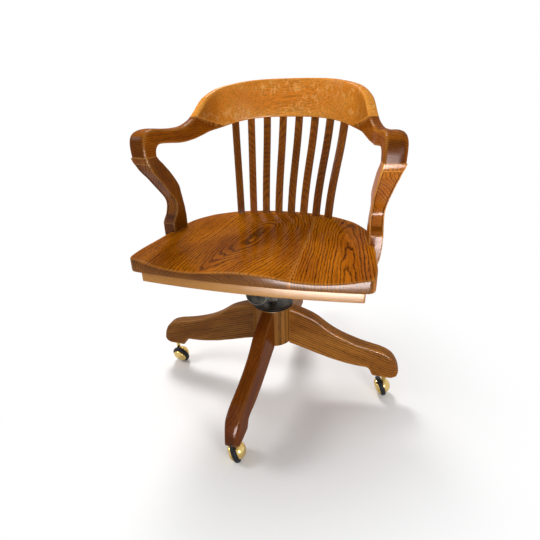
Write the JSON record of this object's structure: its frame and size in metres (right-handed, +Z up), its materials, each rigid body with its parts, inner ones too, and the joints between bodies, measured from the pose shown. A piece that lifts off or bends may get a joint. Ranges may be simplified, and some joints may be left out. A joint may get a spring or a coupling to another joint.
{
  "type": "swivel chair",
  "caption": "Oak bankers swivel chair: saddle seat, slatted curved back, horseshoe arms, sprung tilt, screw height spindle and shaped legs on ball casters.",
  "frame": {"origin": "on the swivel axis at floor level, which is the bottom centre of the bounding box", "axes": "+Z up along the spindle, the chair's front towards -Y, +X to its left-hand side as the sitter faces forward"},
  "size_m": [0.702, 0.702, 0.821],
  "materials": {
    "oak_seat": "satin varnish",
    "oak_rail": "gloss varnish",
    "oak_slat": "satin varnish",
    "oak_base": "satin varnish",
    "oak_batten": "satin varnish",
    "iron": "blackened",
    "steel": "dull zinc",
    "brass": "polished",
    "tyre": "satin",
    "washer": "matte"
  },
  "bodies": {
    "base": {"hub": "oak_base", "spindle_bush": "iron", "leg_front": "oak_base", "leg_right": "oak_base", "leg_rear": "oak_base", "leg_left": "oak_base", "caster_socket_front": "steel", "caster_socket_right": "steel", "caster_socket_rear": "steel", "caster_socket_left": "steel"},
    "swivel_ring": {"thrust_washer": "washer"},
    "height_nut": {"height_nut": "iron"},
    "column": {"spindle": "steel", "tilt_housing": "iron", "pivot_pin": "steel", "tension_stud": "steel", "tension_spring": "steel"},
    "upper": {"seat": "oak_seat", "front_batten": "oak_batten", "rear_batten": "oak_batten", "slat_left_1": "oak_slat", "slat_left_2": "oak_slat", "slat_left_3": "oak_slat", "slat_left_4": "oak_slat", "slat_right_1": "oak_slat", "slat_right_2": "oak_slat", "slat_right_3": "oak_slat", "slat_right_4": "oak_slat", "crest_rail": "oak_rail", "arm_left": "oak_rail", "arm_right": "oak_rail", "post_left": "oak_rail", "post_right": "oak_rail", "post_screw_left_1": "steel", "post_screw_left_2": "steel", "post_screw_right_1": "steel", "post_screw_right_2": "steel", "seat_iron": "iron", "iron_screw_1": "steel", "iron_screw_2": "steel", "iron_screw_3": "steel", "iron_screw_4": "steel"},
    "tension_plate": {"tension_washer": "steel"},
    "tension_knob": {"tension_knob": "iron"},
    "caster_front": {"caster_hood_front": "brass", "caster_axle_front": "steel"},
    "wheel_front": {"caster_wheel_front": "brass", "caster_tyre_front": "tyre"},
    "caster_right": {"caster_hood_right": "brass", "caster_axle_right": "steel"},
    "wheel_right": {"caster_wheel_right": "brass", "caster_tyre_right": "tyre"},
    "caster_rear": {"caster_hood_rear": "brass", "caster_axle_rear": "steel"},
    "wheel_rear": {"caster_wheel_rear": "brass", "caster_tyre_rear": "tyre"},
    "caster_left": {"caster_hood_left": "brass", "caster_axle_left": "steel"},
    "wheel_left": {"caster_wheel_left": "brass", "caster_tyre_left": "tyre"}
  },
  "joints": [
    {"name": "swivel", "type": "hinge", "parent": "base", "child": "swivel_ring", "pos_m": [0, 0, 0.26], "axis": [0, 0, 1], "continuous": true},
    {"name": "height_nut_turn", "type": "hinge", "parent": "swivel_ring", "child": "height_nut", "pos_m": [0, 0, 0.264], "axis": [0, 0, 1], "range_deg": [-2555, 3972]},
    {"name": "seat_height", "type": "slide", "parent": "swivel_ring", "child": "column", "axis": [0, 0, 1], "range_m": [-0.07, 0.045]},
    {"name": "seat_tilt", "type": "hinge", "parent": "column", "child": "upper", "pos_m": [0, 0, 0.399], "axis": [-1, 0, 0], "range_deg": [0, 15], "stiffness_Nm_per_rad": 150, "springref_deg": -5.73, "deforming": ["tension_spring"]},
    {"name": "tension_travel", "type": "slide", "parent": "column", "child": "tension_plate", "axis": [0, 1, 0], "range_m": [-0.006, 0.006], "deforming": ["tension_spring"]},
    {"name": "tension_knob_turn", "type": "hinge", "parent": "tension_plate", "child": "tension_knob", "pos_m": [0, -0.148, 0.361], "axis": [0, 1, 0], "range_deg": [-1085, 1085]},
    {"name": "caster_swivel_front", "type": "hinge", "parent": "base", "child": "caster_front", "pos_m": [-0.01217, -0.31677, 0.07], "axis": [0, 0, 1], "continuous": true},
    {"name": "caster_roll_front", "type": "hinge", "parent": "caster_front", "child": "wheel_front", "pos_m": [-0.01554, -0.30842, 0.02847], "axis": [-0.8818, -0.3563, -0.309], "continuous": true},
    {"name": "caster_swivel_right", "type": "hinge", "parent": "base", "child": "caster_right", "pos_m": [0.31677, -0.01217, 0.07], "axis": [0, 0, 1], "continuous": true},
    {"name": "caster_roll_right", "type": "hinge", "parent": "caster_right", "child": "wheel_right", "pos_m": [0.31399, -0.00361, 0.02847], "axis": [-0.9045, -0.2939, -0.309], "continuous": true},
    {"name": "caster_swivel_rear", "type": "hinge", "parent": "base", "child": "caster_rear", "pos_m": [0.01217, 0.31677, 0.07], "axis": [0, 0, 1], "continuous": true},
    {"name": "caster_roll_rear", "type": "hinge", "parent": "caster_rear", "child": "wheel_rear", "pos_m": [0.00401, 0.31296, 0.02847], "axis": [-0.4019, 0.8619, -0.309], "continuous": true},
    {"name": "caster_swivel_left", "type": "hinge", "parent": "base", "child": "caster_left", "pos_m": [-0.31677, 0.01217, 0.07], "axis": [0, 0, 1], "continuous": true},
    {"name": "caster_roll_left", "type": "hinge", "parent": "caster_left", "child": "wheel_left", "pos_m": [-0.3079, 0.01061, 0.02847], "axis": [-0.1651, -0.9366, -0.309], "continuous": true}
  ],
  "couplings": [
    {"joint": "height_nut_turn", "follows": "seat_height", "rad_per_m": -989.48},
    {"joint": "tension_knob_turn", "follows": "tension_travel", "rad_per_m": 3141.6}
  ]
}
